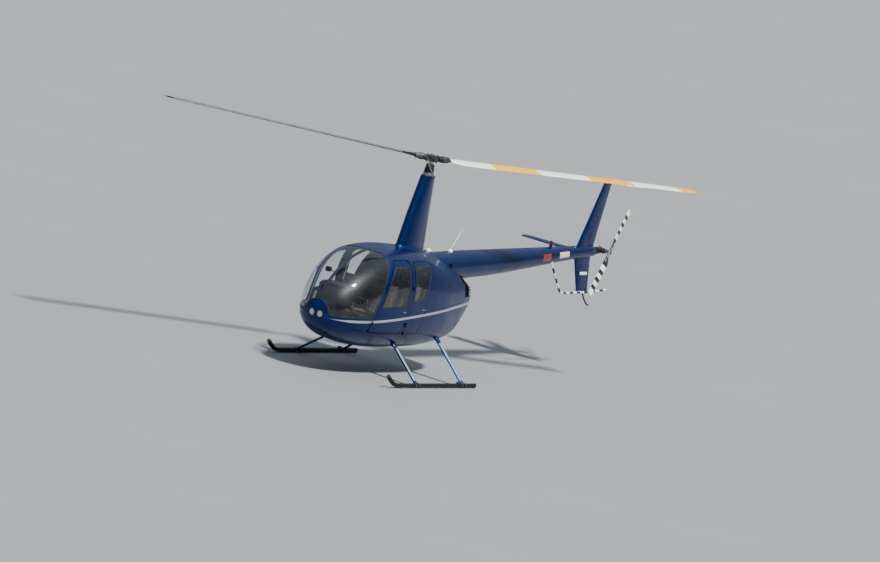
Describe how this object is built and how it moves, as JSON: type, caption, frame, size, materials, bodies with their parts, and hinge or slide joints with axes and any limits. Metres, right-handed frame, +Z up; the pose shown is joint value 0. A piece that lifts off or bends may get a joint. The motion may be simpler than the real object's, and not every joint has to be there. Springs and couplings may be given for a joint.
{
  "type": "light helicopter",
  "caption": "Light helicopter with a rounded glazed cabin, tall mast fairing, teetering main rotor, slender tail cone with fins and tail rotor, hinged cabin doors and skid landing gear.",
  "frame": {"origin": "on the ground under the centre line, half way along the overall length", "axes": "+X points aft, +Y to starboard and +Z up; the main rotor's mast stands at x = -0.818 m"},
  "size_m": [10.9099, 4.2082, 3.6027],
  "materials": {
    "blue_paint": "deep blue metallic gloss paint with a silver waist line",
    "glazing": "clear, faintly tinted acrylic",
    "lamp_glass": "clear lens",
    "interior_trim": "dark grained trim",
    "carpet": "short pile carpet",
    "seat_leather": "stitched brown leather",
    "black_paint": "satin black paint",
    "white_paint": "gloss white paint with warning bands",
    "blade_grey": "satin dark grey paint",
    "bare_aluminium": "machined and satin",
    "engine_metal": "rough cast grey",
    "exhaust_steel": "heat-tinted steel",
    "red_lens": "clear red lens"
  },
  "bodies": {
    "fuselage": {"cabin_tub": "blue_paint", "cabin_frame": "blue_paint", "windshield_port": "glazing", "windshield_starboard": "glazing", "landing_lamps": "lamp_glass", "cabin_floor": "carpet", "firewall": "interior_trim", "front_cushion_port": "seat_leather", "front_cushion_starboard": "seat_leather", "front_backrest_port": "seat_leather", "front_backrest_starboard": "seat_leather", "rear_cushion_port": "seat_leather", "rear_cushion_starboard": "seat_leather", "rear_backrest_port": "seat_leather", "rear_backrest_starboard": "seat_leather", "instrument_console": "interior_trim", "cyclic_stick": "black_paint", "upper_cowl": "blue_paint", "belly_cowl": "blue_paint", "side_cowl_port": "blue_paint", "side_cowl_starboard": "blue_paint", "engine_block": "engine_metal", "cooling_fan": "bare_aluminium", "rear_grille": "black_paint", "exhaust_pipe": "exhaust_steel", "tail_cone": "blue_paint", "upper_fin": "blue_paint", "lower_fin": "blue_paint", "stabilizer": "blue_paint", "tail_guard": "white_paint", "tail_gearbox": "black_paint", "beacon": "red_lens", "whip_antenna": "white_paint", "skid_port": "black_paint", "skid_starboard": "black_paint", "front_strut_port": "blue_paint", "front_strut_starboard": "blue_paint", "rear_strut_port": "blue_paint", "rear_strut_starboard": "blue_paint", "mast_fairing": "blue_paint", "lower_swashplate": "bare_aluminium"},
    "main_rotor": {"rotor_mast": "bare_aluminium", "upper_swashplate": "bare_aluminium", "rotor_hub": "bare_aluminium", "blade_grip_aft": "bare_aluminium", "blade_grip_forward": "bare_aluminium", "main_blade_aft": "white_paint", "main_blade_forward": "blade_grey"},
    "tail_rotor": {"tail_hub": "bare_aluminium", "tail_blade_upper": "white_paint", "tail_blade_lower": "white_paint"},
    "door_front_port": {"front_door_port": "blue_paint", "front_window_port": "glazing"},
    "door_front_starboard": {"front_door_starboard": "blue_paint", "front_window_starboard": "glazing"},
    "door_rear_port": {"rear_door_port": "blue_paint", "rear_window_port": "glazing"},
    "door_rear_starboard": {"rear_door_starboard": "blue_paint", "rear_window_starboard": "glazing"}
  },
  "joints": [
    {"name": "main_rotor_spin", "type": "hinge", "parent": "fuselage", "child": "main_rotor", "pos_m": [-0.818, 0, 3.245], "axis": [0, 0, 1], "continuous": true},
    {"name": "tail_rotor_spin", "type": "hinge", "parent": "fuselage", "child": "tail_rotor", "pos_m": [5.068, -0.195, 1.914], "axis": [0, 1, 0], "continuous": true},
    {"name": "door_front_port_hinge", "type": "hinge", "parent": "fuselage", "child": "door_front_port", "pos_m": [-2.561, -0.58957, 0.86], "axis": [-0.3332, 0.0409, -0.942], "range_deg": [0, 70]},
    {"name": "door_front_starboard_hinge", "type": "hinge", "parent": "fuselage", "child": "door_front_starboard", "pos_m": [-2.561, 0.58957, 0.86], "axis": [0.3332, 0.0409, 0.942], "range_deg": [0, 70]},
    {"name": "door_rear_port_hinge", "type": "hinge", "parent": "fuselage", "child": "door_rear_port", "pos_m": [-1.634, -0.64821, 0.85], "axis": [-0.0073, 0.0136, -0.9999], "range_deg": [0, 75]},
    {"name": "door_rear_starboard_hinge", "type": "hinge", "parent": "fuselage", "child": "door_rear_starboard", "pos_m": [-1.634, 0.64821, 0.85], "axis": [0.0073, 0.0136, 0.9999], "range_deg": [0, 75]}
  ],
  "couplings": [
    {"joint": "tail_rotor_spin", "follows": "main_rotor_spin", "ratio": 5.9495}
  ]
}
